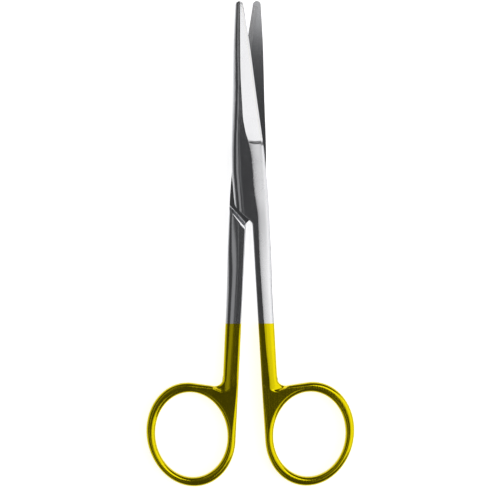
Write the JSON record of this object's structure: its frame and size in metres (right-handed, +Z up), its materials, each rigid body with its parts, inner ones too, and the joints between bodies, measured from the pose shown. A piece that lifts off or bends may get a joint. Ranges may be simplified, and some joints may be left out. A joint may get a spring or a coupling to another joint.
{
  "type": "dissecting scissors",
  "caption": "Straight blunt-tipped dissecting scissors with a screw joint, brazed hard cutting edges and two yellow-plated finger rings, lying slightly open.",
  "frame": {"origin": "on the table plane, under the middle of the outline as it lies open by 6 degrees; the pivot axis is 21.29 mm in front of it", "axes": "+Y along the length towards the blade tips, +Z up through the thickness, +X across to the side of the front half's ring"},
  "size_m": [0.062, 0.145, 0.006],
  "materials": {
    "polished_steel": "mirror polished back, satin ground bevel and inner face",
    "gold_plating": "polished yellow plating over steel",
    "carbide": "fine ground",
    "braze": "thin silver-braze line",
    "screw_steel": "turned and polished"
  },
  "bodies": {
    "rear_half": {"rear_blade": "polished_steel", "rear_ring_handle": "gold_plating", "rear_carbide_insert": "carbide", "rear_braze_layer": "braze"},
    "front_half": {"front_blade": "polished_steel", "front_ring_handle": "gold_plating", "front_carbide_insert": "carbide", "front_braze_layer": "braze", "pivot_screw": "screw_steel"}
  },
  "joints": [
    {"name": "pivot", "type": "hinge", "parent": "rear_half", "child": "front_half", "pos_m": [0, 0.02129, 0.003], "axis": [0, 0, 1], "range_deg": [-6, 60]}
  ]
}
